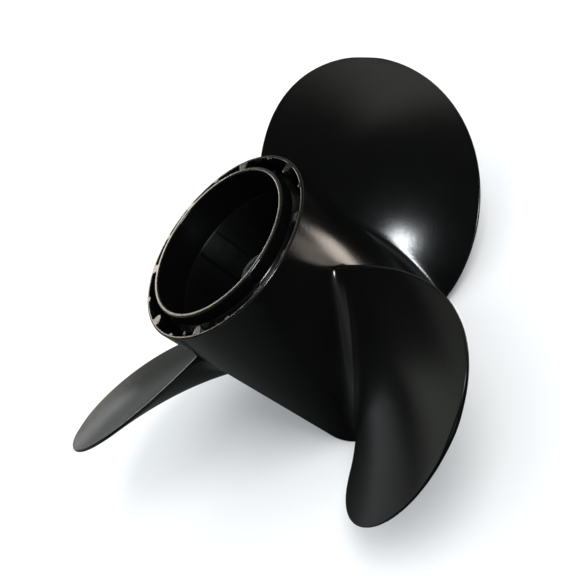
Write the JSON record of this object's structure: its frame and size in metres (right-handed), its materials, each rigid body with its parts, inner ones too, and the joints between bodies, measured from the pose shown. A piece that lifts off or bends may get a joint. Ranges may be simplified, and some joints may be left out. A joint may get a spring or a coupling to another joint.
{
  "type": "boat propeller",
  "caption": "Right-hand boat propeller with a through-exhaust barrel, ear-shaped blades and a cushioned splined drive sleeve held by a nut.",
  "frame": {"origin": "centre of the barrel's forward face, on the shaft axis", "axes": "+Z along the shaft axis, aft, towards the exhaust end; the forward face is at Z = 0; the middle of blade_1's root is at +X"},
  "size_m": [0.3095, 0.3222, 0.1496],
  "materials": {
    "black_paint": "satin black paint on cast aluminium",
    "cushion_rubber": "matt black rubber",
    "bronze": "machined bronze",
    "stainless": "brushed stainless steel"
  },
  "bodies": {
    "casting": {"gearcase_ring": "black_paint", "hub_barrel": "black_paint", "exhaust_collar": "black_paint", "outer_rim": "black_paint", "blade_1": "black_paint", "blade_2": "black_paint", "blade_3": "black_paint", "inner_hub": "black_paint", "exhaust_rib_1": "black_paint", "exhaust_rib_2": "black_paint", "exhaust_rib_3": "black_paint", "cushion_bush": "cushion_rubber"},
    "drive": {"drive_sleeve": "bronze", "thrust_washer": "bronze", "rear_adapter": "bronze", "tab_washer": "stainless", "prop_nut": "stainless"}
  },
  "joints": [
    {"name": "cushion_twist", "type": "hinge", "parent": "casting", "child": "drive", "pos_m": [0, 0, 0.056], "axis": [0, 0, 1], "range_deg": [-10, 10], "stiffness_Nm_per_rad": 2000}
  ]
}
